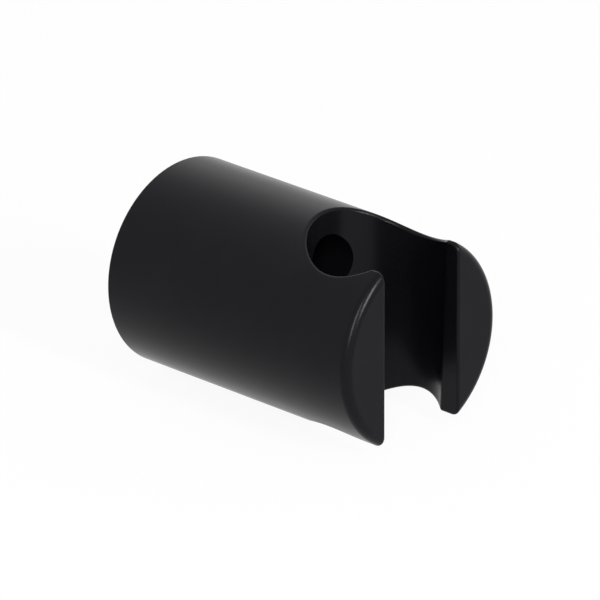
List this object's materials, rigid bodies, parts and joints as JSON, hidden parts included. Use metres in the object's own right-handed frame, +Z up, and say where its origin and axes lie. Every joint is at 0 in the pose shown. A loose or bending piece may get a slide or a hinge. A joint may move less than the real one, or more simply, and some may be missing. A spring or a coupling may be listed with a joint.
{
  "type": "hand shower holder",
  "caption": "Round wall holder for a hand shower: a short horizontal body with an upright tapered socket near its front, open to the front by a slot for the hose.",
  "frame": {"origin": "centre of the round wall face, on the body's axis", "axes": "+Y into the wall, so the body stands out along -Y with its slot at the front; +Z up, along the socket's axis; +X to the right of someone facing the wall"},
  "size_m": [0.038, 0.0588, 0.038],
  "materials": {
    "matt_black_coating": "matt"
  },
  "bodies": {
    "root": {"holder_body": "matt_black_coating"}
  },
  "joints": []
}
